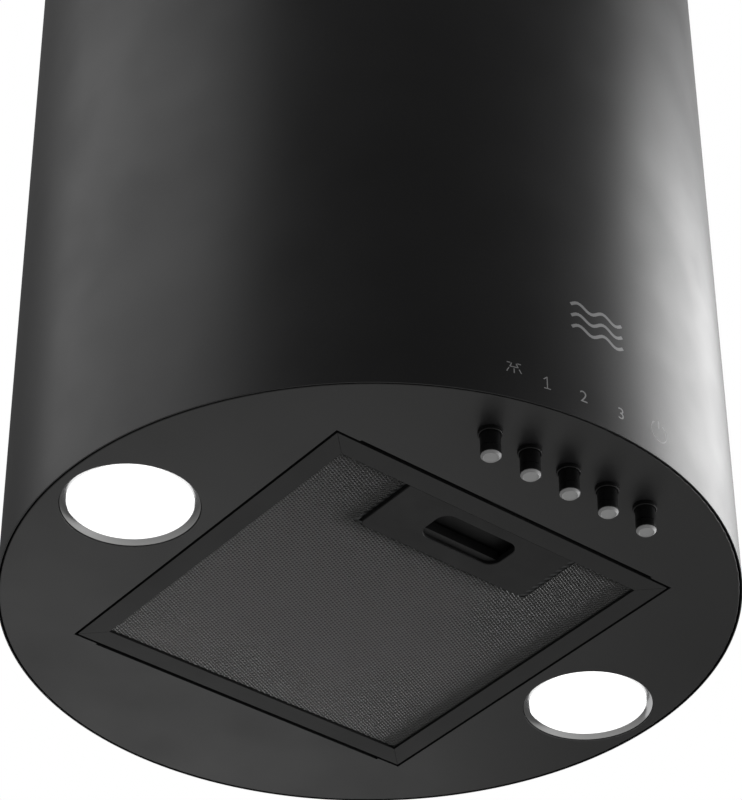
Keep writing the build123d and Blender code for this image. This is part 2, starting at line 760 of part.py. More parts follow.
with BuildPart() as control_housing:
    slab(
        plate_top,
        floor_z + housing_h,
        -housing_half_x,
        housing_half_x,
        button_y - housing_half_y,
        button_y + housing_half_y,
    )
    fillet(control_housing.edges().filter_by(Axis.Z), housing_corner)
    slab(
        plate_top + 2.5,
        floor_z + housing_h - housing_wall,
        -housing_half_x + housing_wall,
        housing_half_x - housing_wall,
        button_y - housing_half_y + housing_wall,
        button_y + housing_half_y - housing_wall,
        Mode.SUBTRACT,
    )
    with BuildSketch(Plane.XY.offset(floor_z - collar_ring_h)):
        with Locations(*button_spots):
            Circle(collar_ring_r)
    extrude(amount=collar_ring_h)
    fillet(control_housing.edges().group_by(Axis.Z)[0], collar_ring_edge)
    with BuildSketch(Plane.XY.offset(floor_z)):
        with Locations(*button_spots):
            Circle(button_hole_r - slip)
    extrude(amount=plate_t)
    with BuildSketch(Plane.XY.offset(floor_z - collar_ring_h - 1)):
        with Locations(*button_spots):
            Circle(button_r + button_clear)
    extrude(amount=collar_ring_h + plate_t + 4, mode=Mode.SUBTRACT)
keep(control_housing, "control_housing")

with BuildPart() as control_board:
    slab(
        floor_z + board_low,
        floor_z + board_low + board_t,
        -housing_half_x + board_inset,
        housing_half_x - board_inset,
        button_y - housing_half_y + board_inset,
        button_y + housing_half_y - board_inset,
    )
    with BuildSketch(Plane.XY.offset(floor_z + board_low - switch_h)):
        with Locations(*button_spots):
            Rectangle(switch_size, switch_size)
    extrude(amount=switch_h)
keep(control_board, "control_board")

for number, x in enumerate(button_xs, start=1):
    centre = Plane((x, button_y, floor_z))
    with BuildPart() as stem:
        low = -button_reach + button_cap_h
        disc_on(centre.offset(low), button_r, flange_low - low)
        disc_on(centre.offset(flange_low), flange_r, flange_h)
        disc_on(centre.offset(flange_low + flange_h), plunger_r, stem_top - flange_low - flange_h)
        disc_on(centre.offset(low - peg_h), peg_r, peg_h)
    keep(stem, f"button_{number}_stem")

    with BuildPart() as cap:
        disc_on(centre.offset(-button_reach), button_r + button_lip, button_cap_h)
        chamfer(cap.edges().group_by(Axis.Z)[0], 1.3, 1.4)
        fillet(cap.edges().group_by(Axis.Z)[-1], 0.3)
        disc_on(centre.offset(-button_reach + button_cap_h - peg_h), peg_r, peg_h, Mode.SUBTRACT)
    keep(cap, f"button_{number}_cap")

    with BuildPart() as spring:
        seat = floor_z + flange_low + flange_h
        coil_spring((x, button_y, seat), (0, 0, 1), floor_z + board_low - seat, spring_r, 5)
    keep(spring, f"button_{number}_spring")

# ============================ grease filter ==================================================
frame_wall = 1.2
mitre_gap = 0.1
groove_h = filter_t - mesh_recess - frame_wall


def bar(angle, half_along, half_across):
    """One mitred channel bar of the filter frame, on the side that the angle points to."""
    out = Vector(1, 0, 0).rotate(Axis.Z, angle)
    flat = Plane(origin=(0, 0, floor_z), x_dir=out, z_dir=(0, 0, 1))
    with BuildSketch(flat) as section:
        with BuildLine():
            Polyline(
                (half_across, -half_along + mitre_gap),
                (half_across, half_along - mitre_gap),
                (half_across - frame_bar, half_along - frame_bar - mitre_gap),
                (half_across - frame_bar, -half_along + frame_bar + mitre_gap),
                close=True,
            )
        make_face()
    extrude(section.sketch, amount=filter_t)
    with BuildSketch(flat.offset(mesh_recess)) as groove:
        with Locations((half_across - frame_bar / 2 - frame_wall, 0)):
            Rectangle(frame_bar, 2 * (half_along - frame_wall))
    extrude(groove.sketch, amount=groove_h, mode=Mode.SUBTRACT)


tongue_z = floor_z + handle_wall + latch_clear
with BuildPart() as filter_frame:
    for angle in (0, 180):
        bar(angle, filter_y, filter_x)
    for angle in (90, 270):
        bar(angle, filter_x, filter_y)
    slab(
        tongue_z - latch_clear,
        tongue_z + latch_t + latch_clear,
        -tongue_half - latch_clear,
        tongue_half + latch_clear,
        -filter_y - 1,
        -window_y + 1,
        Mode.SUBTRACT,
    )
    for side in (-1, 1):
        root = Plane(origin=(side * (filter_x - frame_wall), hinge_y, hinge_z), z_dir=(side, 0, 0))
        disc_on(root, hinge_pin_r, bracket_x0 + bracket_t + 0.5 - filter_x + frame_wall)
keep(filter_frame, "filter_frame")

core_x = filter_x - frame_wall - mitre_gap
core_y = filter_y - frame_wall - mitre_gap
handle_back = handle_front + handle_y
handle_clear = 0.2


def filter_layer(name, low, thick):
    """Flat layer held in the frame's groove and cut out round the handle."""
    with BuildPart() as layer:
        slab(low, low + thick, -core_x, core_x, -core_y, core_y)
        slab(
            low,
            low + thick,
            -handle_x / 2 - handle_clear,
            handle_x / 2 + handle_clear,
            -core_y,
            handle_back + handle_clear,
            Mode.SUBTRACT,
        )
    keep(layer, name)


filter_layer("filter_face", floor_z + mesh_recess, mesh_t)
filter_layer("filter_core", floor_z + mesh_recess + mesh_t, groove_h - 2 * mesh_t)
filter_layer("filter_back", floor_z + mesh_recess + groove_h - mesh_t, mesh_t)

slot_back = slot_cy + slot_y / 2
with BuildPart() as filter_handle:
    with BuildSketch(Plane.XY.offset(floor_z)) as outline:
        with Locations((0, handle_front + handle_y / 2)):
            Rectangle(handle_x, handle_y)
        fillet(outline.vertices().sort_by(Axis.Y)[-2:], handle_corner)
    extrude(amount=handle_depth)
    with BuildSketch(Plane.XY.offset(floor_z + handle_wall)) as hollow:
        with Locations((0, handle_front + handle_y / 2)):
            Rectangle(handle_x - 2 * handle_wall, handle_y - 2 * handle_wall)
        fillet(hollow.vertices().sort_by(Axis.Y)[-2:], handle_corner - handle_wall)
    extrude(amount=handle_depth - 2 * handle_wall, mode=Mode.SUBTRACT)
    with BuildSketch(Plane.XY.offset(floor_z)):
        with Locations((0, slot_cy)):
            RectangleRounded(slot_x, slot_y, slot_corner)
    extrude(amount=handle_wall, mode=Mode.SUBTRACT)
    lower_edges = filter_handle.edges().group_by(Axis.Z)[0]
    slot_rim = lower_edges.filter_by(
        lambda edge: abs(edge.center().X) < slot_x / 2 + 1 and abs(edge.center().Y - slot_cy) < slot_y / 2 + 1
    )
    chamfer([edge for edge in lower_edges if edge not in slot_rim], handle_edge)
    fillet(slot_rim, slot_edge)
    slab(
        tongue_z - latch_clear,
        tongue_z + latch_t + latch_clear,
        -tongue_half - latch_clear,
        tongue_half + latch_clear,
        handle_front - 1,
        handle_front + handle_wall + 1,
        Mode.SUBTRACT,
    )
keep(filter_handle, "filter_handle")

# latch slide: the finger bar shows in the slot, the tongue holds over the plate's edge
slide_half = slot_x / 2 + latch_lap
slide_front = handle_front + handle_wall + latch_clear
bar_front = slot_back - latch_bar_in
bar_back = bar_front + latch_bar_w
bar_half = slot_x / 2 + slot_edge
ear_x = handle_x / 2 - handle_wall - ear_clear
ear_back = slide_front + ear_depth
latch_spring_x = ear_x - ear_inset
latch_spring_r = 2.0
latch_spring_z = tongue_z + 2.8

with BuildPart() as latch_slide:
    top = tongue_z + latch_t
    slab(tongue_z, top, -slide_half, slide_half, slide_front, bar_back)
    slab(tongue_z, top, -bar_half, bar_half, slot_cy - slot_y / 2 - slot_edge, bar_front, Mode.SUBTRACT)
    slab(tongue_z, tongue_z + latch_bar_h, -bar_half, bar_half, bar_front, bar_back)
    slab(tongue_z, top, -ear_x, ear_x, slide_front, slide_front + 3.0)
    for side in (-1, 1):
        x = side * latch_spring_x
        slab(tongue_z, tongue_z + latch_bar_h, x - ear_half, x + ear_half, slide_front + 3.0, ear_back)
    slab(tongue_z, top, -tongue_half, tongue_half, -open_y - tongue_reach, slide_front)
keep(latch_slide, "latch_slide")

with BuildPart() as latch_springs:
    for side in (-1, 1):
        foot = (side * latch_spring_x, ear_back, latch_spring_z)
        coil_spring(foot, (0, 1, 0), handle_back - handle_wall - ear_back, latch_spring_r, 8)
keep(latch_springs, "latch_springs")
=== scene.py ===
"""The looks of a round island range hood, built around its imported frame.

Metres, +Z up. The hood hangs below the origin, and its controls face -Y.
"""
import json
from math import atan2, cos, pi, radians, sin

import bmesh
import bpy
from mathutils import Matrix, Quaternion, Vector

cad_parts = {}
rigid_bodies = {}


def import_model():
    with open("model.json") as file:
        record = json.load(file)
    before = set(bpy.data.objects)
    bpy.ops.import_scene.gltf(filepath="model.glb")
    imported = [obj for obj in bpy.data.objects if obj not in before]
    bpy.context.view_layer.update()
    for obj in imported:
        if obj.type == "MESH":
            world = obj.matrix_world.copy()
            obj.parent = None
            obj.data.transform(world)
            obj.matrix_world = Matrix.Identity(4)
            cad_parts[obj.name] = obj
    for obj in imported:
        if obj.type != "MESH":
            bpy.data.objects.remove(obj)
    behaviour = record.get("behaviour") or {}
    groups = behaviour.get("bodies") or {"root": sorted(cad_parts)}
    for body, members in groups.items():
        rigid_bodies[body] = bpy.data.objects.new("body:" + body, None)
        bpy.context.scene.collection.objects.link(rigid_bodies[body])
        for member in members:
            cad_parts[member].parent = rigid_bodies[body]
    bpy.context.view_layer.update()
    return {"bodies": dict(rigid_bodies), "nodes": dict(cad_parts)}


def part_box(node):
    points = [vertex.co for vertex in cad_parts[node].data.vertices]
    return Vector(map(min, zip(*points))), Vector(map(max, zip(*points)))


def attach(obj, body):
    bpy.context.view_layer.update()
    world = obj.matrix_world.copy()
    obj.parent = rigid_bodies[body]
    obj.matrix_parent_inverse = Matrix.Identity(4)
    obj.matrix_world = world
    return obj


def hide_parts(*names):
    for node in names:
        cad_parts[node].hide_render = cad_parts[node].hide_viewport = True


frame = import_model()
nodes = frame["nodes"]
mm = 0.001

casing_low, casing_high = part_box("outer_casing")
hood_r = casing_high.x
underside = casing_low.z
button_names = sorted(body for body in frame["bodies"] if body.startswith("button_"))


# ---- materials -----------------------------------------------------------------------------
def linear(code):
    """Linear RGBA of an sRGB hex colour."""
    shares = [int(code[at : at + 2], 16) / 255 for at in (1, 3, 5)]
    return [*(s / 12.92 if s <= 0.04045 else ((s + 0.055) / 1.055) ** 2.4 for s in shares), 1.0]


def add(tree, kind, settings=None, sockets=None):
    """Add a shader node; a socket takes a plain value or another node's output."""
    made = tree.nodes.new(kind)
    for name, value in (settings or {}).items():
        setattr(made, name, value)
    for name, value in (sockets or {}).items():
        if isinstance(value, bpy.types.NodeSocket):
            tree.links.new(value, made.inputs[name])
        else:
            made.inputs[name].default_value = value
    return made


def start(name, **values):
    """A Principled material: itself, its node tree, its shader and the object coordinates."""
    material = bpy.data.materials.new(name)
    material.use_nodes = True
    tree = material.node_tree
    shader = tree.nodes["Principled BSDF"]
    for socket, value in values.items():
        shader.inputs[socket.replace("_", " ")].default_value = value
    return material, tree, shader, add(tree, "ShaderNodeTexCoord").outputs["Object"]


def per(size):
    """Texture scale whose features are about this many millimetres across."""
    return 1 / (size * mm)


def two_tone(tree, shader, factor, dark, light):
    """Base colour between two hex colours."""
    mix = add(tree, "ShaderNodeMix", {"data_type": "RGBA"}, {0: factor, 6: linear(dark), 7: linear(light)})
    tree.links.new(mix.outputs[2], shader.inputs["Base Color"])


def powder_coat(name, dark, light, peel, rough=(0.36, 0.46), depth=0.05):
    """Satin powder coat: a fine orange peel that breaks up reflections, faint cloudy tone."""
    material, tree, shader, place = start(name, Specular_IOR_Level=0.5)
    clouds = add(tree, "ShaderNodeTexNoise", None, {"Vector": place, "Scale": per(60), "Detail": 3.0})
    grains = add(tree, "ShaderNodeTexNoise", None, {"Vector": place, "Scale": per(peel), "Detail": 2.0})
    both = add(tree, "ShaderNodeMath", {"operation": "MULTIPLY"}, {0: clouds.outputs[0], 1: grains.outputs[0]})
    spread = add(tree, "ShaderNodeMapRange", None, {0: both.outputs[0], 1: 0.1, 2: 0.45})
    two_tone(tree, shader, spread.outputs[0], dark, light)
    gloss = add(tree, "ShaderNodeMapRange", None, {0: clouds.outputs[0], 1: 0.3, 2: 0.7, 3: rough[0], 4: rough[1]})
    tree.links.new(gloss.outputs[0], shader.inputs["Roughness"])
    skin = add(tree, "ShaderNodeBump", None, {"Strength": depth, "Distance": 0.2 * mm, "Height": grains.outputs[0]})
    tree.links.new(skin.outputs[0], shader.inputs["Normal"])
    return material


def moulded(name, dark, light, grain, rough=(0.45, 0.6), depth=0.15, ior=1.5):
    """Injection-moulded plastic: spark-eroded grain, slightly uneven gloss."""
    material, tree, shader, place = start(name, IOR=ior)
    pits = add(tree, "ShaderNodeTexVoronoi", None, {"Vector": place, "Scale": per(grain)})
    flow = add(tree, "ShaderNodeTexNoise", None, {"Vector": place, "Scale": per(18), "Detail": 4.0})
    two_tone(tree, shader, flow.outputs[0], dark, light)
    gloss = add(tree, "ShaderNodeMapRange", None, {0: flow.outputs[0], 1: 0.3, 2: 0.7, 3: rough[0], 4: rough[1]})
    tree.links.new(gloss.outputs[0], shader.inputs["Roughness"])
    skin = add(tree, "ShaderNodeBump", None, {"Strength": depth, "Distance": 0.1 * mm, "Height": pits.outputs[0]})
    tree.links.new(skin.outputs[0], shader.inputs["Normal"])
    return material


def worked_metal(name, dark, light, line, stretch, rough=(0.25, 0.4), depth=0.1):
    """Bare metal with drawn, turned or rolled lines: noise stretched along the working direction."""
    material, tree, shader, place = start(name, Metallic=1.0)
    along = add(tree, "ShaderNodeMapping", None, {"Vector": place, "Scale": stretch})
    lines = add(tree, "ShaderNodeTexNoise", None, {"Vector": along.outputs[0], "Scale": per(line), "Detail": 5.0})
    two_tone(tree, shader, lines.outputs[0], dark, light)
    gloss = add(tree, "ShaderNodeMapRange", None, {0: lines.outputs[0], 1: 0.3, 2: 0.7, 3: rough[0], 4: rough[1]})
    tree.links.new(gloss.outputs[0], shader.inputs["Roughness"])
    skin = add(tree, "ShaderNodeBump", None, {"Strength": depth, "Distance": 0.05 * mm, "Height": lines.outputs[0]})
    tree.links.new(skin.outputs[0], shader.inputs["Normal"])
    return material


def galvanised(name):
    """Hot-dipped zinc on steel sheet: spangle crystals about 9 mm across, each its own tone."""
    material, tree, shader, place = start(name, Metallic=1.0)
    crystals = add(tree, "ShaderNodeTexVoronoi", None, {"Vector": place, "Scale": per(9), "Randomness": 1.0})
    tone = add(tree, "ShaderNodeSeparateColor", None, {0: crystals.outputs["Color"]})
    two_tone(tree, shader, tone.outputs[0], "#9a9da0", "#c3c6c8")
    gloss = add(tree, "ShaderNodeMapRange", None, {0: tone.outputs[1], 3: 0.32, 4: 0.55})
    tree.links.new(gloss.outputs[0], shader.inputs["Roughness"])
    edges = add(tree, "ShaderNodeBump", None, {"Strength": 0.1, "Distance": 0.05 * mm, "Height": tone.outputs[2]})
    tree.links.new(edges.outputs[0], shader.inputs["Normal"])
    return material


def banded(name, dark, light, pitch, direction, metallic, rough):
    """Fine parallel bands, as in wound wire or stacked steel sheets."""
    material, tree, shader, place = start(name, Metallic=metallic, Roughness=rough)
    # a wave of scale 1 repeats every 2 pi / 20 of a unit
    bands = add(
        tree,
        "ShaderNodeTexWave",
        {"bands_direction": direction},
        {"Vector": place, "Scale": per(pitch) * 2 * pi / 20, "Distortion": 0.6, "Detail": 2.0},
    )
    two_tone(tree, shader, bands.outputs[0], dark, light)
    ridges = add(tree, "ShaderNodeBump", None, {"Strength": 0.5, "Distance": 0.3 * mm, "Height": bands.outputs[0]})
    tree.links.new(ridges.outputs[0], shader.inputs["Normal"])
    return material


def solder_mask(name):
    """Green solder mask over copper tracks, which show as paler raised lines 0.8 mm wide."""
    material, tree, shader, place = start(name, Roughness=0.35, IOR=1.5)
    tracks = add(
        tree,
        "ShaderNodeTexBrick",
        {"offset": 0.5},
        {"Vector": place, "Scale": per(9), "Mortar Size": 0.06, "Brick Width": 0.7, "Row Height": 0.3},
    )
    two_tone(tree, shader, tracks.outputs[1], "#14442a", "#2f7a45")
    raised = add(tree, "ShaderNodeBump", None, {"Strength": 0.3, "Distance": 0.1 * mm, "Height": tracks.outputs[1]})
    tree.links.new(raised.outputs[0], shader.inputs["Normal"])
    return material


def opal(name):
    """Opal acrylic lit from behind: even white light, the faintest cloud in its tone."""
    material, tree, shader, place = start(name, Roughness=0.35, IOR=1.49, Emission_Strength=1.15)
    haze = add(tree, "ShaderNodeTexNoise", None, {"Vector": place, "Scale": per(25), "Detail": 1.0})
    two_tone(tree, shader, haze.outputs[0], "#f4f4f2", "#ffffff")
    glow = add(
        tree,
        "ShaderNodeMix",
        {"data_type": "RGBA"},
        {0: haze.outputs[0], 6: linear("#fbfbfa"), 7: linear("#ffffff")},
    )
    tree.links.new(glow.outputs[2], shader.inputs["Emission Color"])
    return material


black_paint = powder_coat("satin_black_powder_coat", "#19191a", "#222223", 0.9)
frame_paint = powder_coat("filter_black_powder_coat", "#0b0b0c", "#121213", 0.7, (0.5, 0.6))
casting_paint = powder_coat("motor_grey_enamel", "#4a4f54", "#5c6166", 1.4, depth=0.2)
zinc_sheet = galvanised("galvanised_sheet")
plated_screw = worked_metal("zinc_plated_screw", "#a9a59a", "#cfccc2", 0.6, (1, 1, 3))
spring_wire = worked_metal("hard_drawn_spring_wire", "#8b8d90", "#b9bbbe", 0.25, (1, 1, 4))
bearing_ring = worked_metal("ground_bearing_steel", "#a2a4a6", "#d2d4d6", 0.2, (8, 1, 1), (0.12, 0.22))
shaft_steel = worked_metal("turned_shaft_steel", "#8e9092", "#bcbec0", 0.3, (8, 1, 1), (0.18, 0.3))
cast_cup = worked_metal("die_cast_aluminium", "#8f9194", "#a9abad", 1.2, (1, 1, 1), (0.45, 0.6), 0.3)
bezel_satin = worked_metal("satin_spun_aluminium", "#b2b2b3", "#c4c4c5", 0.15, (1, 1, 6), (0.14, 0.2), 0.03)
handle_black = moulded("handle_black_abs", "#111112", "#161617", 0.5, (0.5, 0.62), ior=1.42)
control_black = moulded("control_black_abs", "#060607", "#0b0b0c", 0.4, (0.5, 0.6), ior=1.42)
button_black = moulded("button_black_abs", "#0c0c0d", "#111112", 0.35, (0.3, 0.4), 0.08)
button_grey = moulded("button_grey_insert", "#a2a2a3", "#aeaeaf", 0.35, (0.45, 0.55), 0.06)
blower_grey = moulded("blower_grey_polypropylene", "#6d7175", "#7b7f83", 0.8)
box_white = moulded("junction_white_abs", "#d6d6d2", "#e2e2df", 0.6)
gland_grey = moulded("gland_grey_polyamide", "#8f9294", "#9c9fa1", 0.5)
stator_stack = banded("stator_steel_laminations", "#5d6063", "#8b8e91", 1.0, "X", 1.0, 0.4)
copper_wire = banded("enamelled_copper_wire", "#7a3418", "#b8622f", 1.1, "DIAGONAL", 1.0, 0.32)
filter_pad = banded("layered_aluminium_mesh", "#1a1b1c", "#4a4b4c", 2.2, "DIAGONAL", 0.6, 0.5)
strand_grey = worked_metal("expanded_aluminium", "#858585", "#9a9a9a", 0.8, (1, 1, 1), (0.4, 0.5))
board_green = solder_mask("green_circuit_board")
lens_opal = opal("opal_acrylic_lens")
print_grey = moulded("screen_print_grey", "#8f8f90", "#a4a4a5", 0.3, (0.5, 0.6), 0.03)

finishes = {
    black_paint: ["upper_sleeve", "bottom_plate"],
    frame_paint: ["filter_frame"],
    casting_paint: ["motor_caps"],
    zinc_sheet: ["ceiling_plate", "upper_rails", "lower_rails", "deck", "casing_clips"],
    plated_screw: ["sleeve_screws", "hood_screws"],
    spring_wire: ["latch_springs", *(f"{name}_spring" for name in button_names)],
    bearing_ring: ["motor_bearings"],
    shaft_steel: ["motor_shaft"],
    cast_cup: ["lamp_1_cup", "lamp_2_cup", "capacitor"],
    handle_black: ["filter_handle", "latch_slide"],
    control_black: ["control_housing", "outlet_collar", "flap_rear", "flap_front"],
    button_black: [f"{name}_stem" for name in button_names],
    blower_grey: ["scroll_left", "scroll_right", "impeller", "inlet_grilles"],
    box_white: ["junction_box", "junction_lid", "lamp_driver"],
    gland_grey: ["cable_gland"],
    stator_stack: ["motor_core", "motor_rotor"],
    filter_pad: ["filter_core"],
    board_green: ["control_board", "lamp_1_board", "lamp_2_board"],
    lens_opal: ["lamp_1_lens", "lamp_2_lens"],
}
for coat, names in finishes.items():
    for name in names:
        for place in nodes[name].material_slots:
            place.material = coat


# ---- shaping tools -------------------------------------------------------------------------
def put(bm, name, coat, body, slot, *stands_for):
    """Turn a bmesh into a piece that rides on a body and stands for CAD nodes."""
    mesh = bpy.data.meshes.new(name)
    bm.to_mesh(mesh)
    bm.free()
    mesh.shade_smooth()
    mesh.set_sharp_from_angle(angle=radians(32))
    mesh.materials.append(coat)
    piece = bpy.data.objects.new(name, mesh)
    bpy.context.scene.collection.objects.link(piece)
    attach(piece, body)
    if stands_for:
        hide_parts(*stands_for)
    return piece


def lathe(bm, outline, steps, closed=True, where=Matrix()):
    """Spin an outline of (radius, height) points about the place's local Z."""
    verts = [bm.verts.new((r, 0, z)) for r, z in outline]
    pairs = zip(verts, verts[1:] + verts[:1] if closed else verts[1:])
    edges = [bm.edges.new(pair) for pair in pairs]
    bmesh.ops.spin(
        bm, geom=verts + edges, cent=(0, 0, 0), axis=(0, 0, 1), angle=2 * pi, steps=steps, use_merge=True
    )
    bmesh.ops.remove_doubles(bm, verts=bm.verts, dist=1e-7)
    bmesh.ops.recalc_face_normals(bm, faces=bm.faces)
    bmesh.ops.transform(bm, matrix=where, verts=bm.verts)


def facing(at, out):
    """Matrix that puts local Z along out, at a point."""
    return Matrix.Translation(at) @ Vector(out).to_track_quat("Z", "Y").to_matrix().to_4x4()


def joined(parts):
    """One bmesh from several."""
    whole = bmesh.new()
    for part in parts:
        holder = bpy.data.meshes.new("holder")
        part.to_mesh(holder)
        part.free()
        whole.from_mesh(holder)
        bpy.data.meshes.remove(holder)
    return whole


# ---- casing --------------------------------------------------------------------------------
print_room = 0.04 * mm
skin_r = hood_r - print_room
wall = 1.0 * mm
hem = 0.2 * mm
inner_r = hood_r - wall
# taken off the inside of the lower edge, in full to 3 times this height and tapering out at 5 times
thinned = 0.4 * mm
hem_arc = [(hem * (1 - cos(radians(a))), hem * (1 - sin(radians(a)))) for a in (0, 30, 60, 90)]
outline = [(skin_r - dx, underside + dz) for dx, dz in hem_arc]
outline += [(inner_r + thinned + dx, underside + dz) for dx, dz in reversed(hem_arc)]
outline += [(inner_r + thinned, underside + 3 * thinned), (inner_r, underside + 5 * thinned)]
outline += [(inner_r + dx, casing_high.z - dz) for dx, dz in hem_arc]
outline += [(skin_r - dx, casing_high.z - dz) for dx, dz in reversed(hem_arc)]
shell = bmesh.new()
lathe(shell, outline, 288)
put(shell, "casing_shell", black_paint, "hood", "black_steel", "outer_casing")


# ---- lamp bezels ---------------------------------------------------------------------------
for number in (1, 2):
    low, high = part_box(f"lamp_{number}_bezel")
    lens_low, lens_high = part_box(f"lamp_{number}_lens")
    middle = Vector(((low.x + high.x) / 2, (low.y + high.y) / 2, low.z))
    rim_r = (high.x - low.x) / 2
    throat_r = (lens_high.x - lens_low.x) / 2 + 0.2 * mm
    lens_z = lens_low.z - low.z
    step = 0.9 * mm  # the cone starts this far above the plate's face
    metal = 1.0 * mm
    bezel_line = [
        (rim_r, step),
        (rim_r - 0.15 * mm, step - 0.1 * mm),
        (rim_r - 0.35 * mm, step),
        (throat_r + 0.15 * mm, lens_z - 0.1 * mm),
        (throat_r, lens_z + 0.1 * mm),
        (throat_r, high.z - low.z),
        (throat_r + metal, high.z - low.z),
        (throat_r + metal, lens_z + metal),
        (rim_r, step + metal),
    ]
    bezel = bmesh.new()
    lathe(bezel, bezel_line, 128, where=Matrix.Translation(middle))
    put(bezel, f"lamp_{number}_bezel_ring", bezel_satin, "hood", "bezel_grey", f"lamp_{number}_bezel")


# ---- print on the casing -------------------------------------------------------------------
ink_depth = 0.03 * mm


def line(bm, a, b, width):
    """Flat stroke between two points of the unrolled casing, with room for the next to overlap."""
    a, b = Vector(a), Vector(b)
    run = b - a
    turn = Matrix.Rotation(atan2(run.y, run.x), 4, "Z")
    size = Matrix.Diagonal((run.length + width * 0.6, width, ink_depth, 1))
    middle = (a + b) / 2
    bmesh.ops.create_cube(bm, size=1, matrix=Matrix.Translation((*middle, 0)) @ turn @ size)


def wrap(bm):
    """Roll the flat print onto the casing; its X runs round from the front, its Y up."""
    for vert in bm.verts:
        turn = vert.co.x / skin_r
        reach = skin_r + vert.co.z
        vert.co = (reach * sin(turn), -reach * cos(turn), underside + vert.co.y)


def on_casing(angle, height):
    """Point of the unrolled casing: degrees round from the front, millimetres up."""
    return Vector((radians(angle) * skin_r, height * mm))


def digit(bm, body, angle, height, tall):
    """Thin generic numeral, centred on a point of the unrolled casing."""
    curve = bpy.data.curves.new("numeral", "FONT")
    curve.body = body
    curve.align_x = "CENTER"
    curve.align_y = "CENTER"
    curve.size = tall * mm * 1.38  # the face's numerals are 0.72 of its size
    curve.offset = -0.06 * mm
    curve.extrude = ink_depth / 2
    holder = bpy.data.objects.new("numeral", curve)
    bpy.context.scene.collection.objects.link(holder)
    flat = bpy.data.meshes.new_from_object(holder.evaluated_get(bpy.context.evaluated_depsgraph_get()))
    at = on_casing(angle, height)
    flat.transform(Matrix.Translation((*at, 0)))
    bm.from_mesh(flat)
    bpy.data.objects.remove(holder)


marks = bmesh.new()
stroke = 0.55 * mm
foot = on_casing(-12.2, 10.6)  # the numeral 1, with its flag and foot
tall = Vector((0, 6.6)) * mm
line(marks, foot, foot + tall, stroke)
line(marks, foot + tall, foot + tall + Vector((-1.7, -1.5)) * mm, stroke)
line(marks, foot - Vector((1.6, 0)) * mm, foot + Vector((1.6, 0)) * mm, stroke)
for body, angle, height in (("2", -6.1, 12.9), ("3", 0.8, 12.9)):
    digit(marks, body, angle, height, 6.8)
# lamp sign: a bar, a small shade and three rays
centre = on_casing(-17.4, 17.6)
line(marks, centre + Vector((-3.4, 2.6)) * mm, centre + Vector((3.4, 2.6)) * mm, stroke)
for side in (-1, 1):
    line(marks, centre + Vector((side * 1.2, 2.4)) * mm, centre + Vector((side * 2.0, 0.4)) * mm, stroke)
    line(marks, centre + Vector((side * 2.6, -0.6)) * mm, centre + Vector((side * 3.6, -2.6)) * mm, stroke)
line(marks, centre + Vector((-2.0, 0.4)) * mm, centre + Vector((2.0, 0.4)) * mm, stroke)
line(marks, centre + Vector((0, -0.6)) * mm, centre + Vector((0, -3.0)) * mm, stroke)
# on and off sign: an open ring with a bar in its gap
centre = on_casing(8.9, 16.0)
ring_r = 5.6 * mm
ring = [centre + Vector((sin(radians(a)), cos(radians(a)))) * ring_r for a in range(35, 326, 10)]
for a, b in zip(ring, ring[1:]):
    line(marks, a, b, stroke)
line(marks, centre + Vector((0, ring_r * 0.35)), centre + Vector((0, ring_r * 1.1)), stroke)
# air sign: three rising waves of one length
for row in range(3):
    wave = [
        on_casing(-2.7, 53.5 + row * 6.8) + Vector((t * 15, 1.7 * sin(t * pi * 2))) * mm
        for t in [step / 12 - 1 for step in range(25)]
    ]
    for a, b in zip(wave, wave[1:]):
        line(marks, a, b, 1.7 * mm)
wrap(marks)
put(marks, "casing_print", print_grey, "hood", "bezel_grey")


# ---- expanded metal of the grease filter ---------------------------------------------------
face_low, face_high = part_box("filter_face")
back_low, back_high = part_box("filter_back")
handle_low, handle_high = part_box("filter_handle")


def strand(bm, x0, count, half_long, y, rise, low, high, half_width):
    """Zigzag strand of three-sided section, its ridge down; returns all its parts."""
    section = ((-half_width, high), (0, low), (half_width, high))
    ring = [bm.verts.new((x0, y + dy, z)) for dy, z in section]
    first = bm.faces.new(ring)
    parts = [first, *first.edges, *first.verts]
    edges = list(first.edges)
    for step in range(count):
        made = bmesh.ops.extrude_edge_only(bm, edges=edges)["geom"]
        verts = [part for part in made if isinstance(part, bmesh.types.BMVert)]
        edges = [
            part for part in made if isinstance(part, bmesh.types.BMEdge) and set(part.verts) <= set(verts)
        ]
        bmesh.ops.translate(bm, verts=verts, vec=(half_long, rise if step % 2 == 0 else -rise, 0))
        parts += made
    cap = bmesh.ops.contextual_create(bm, geom=edges)["faces"]
    return parts + cap


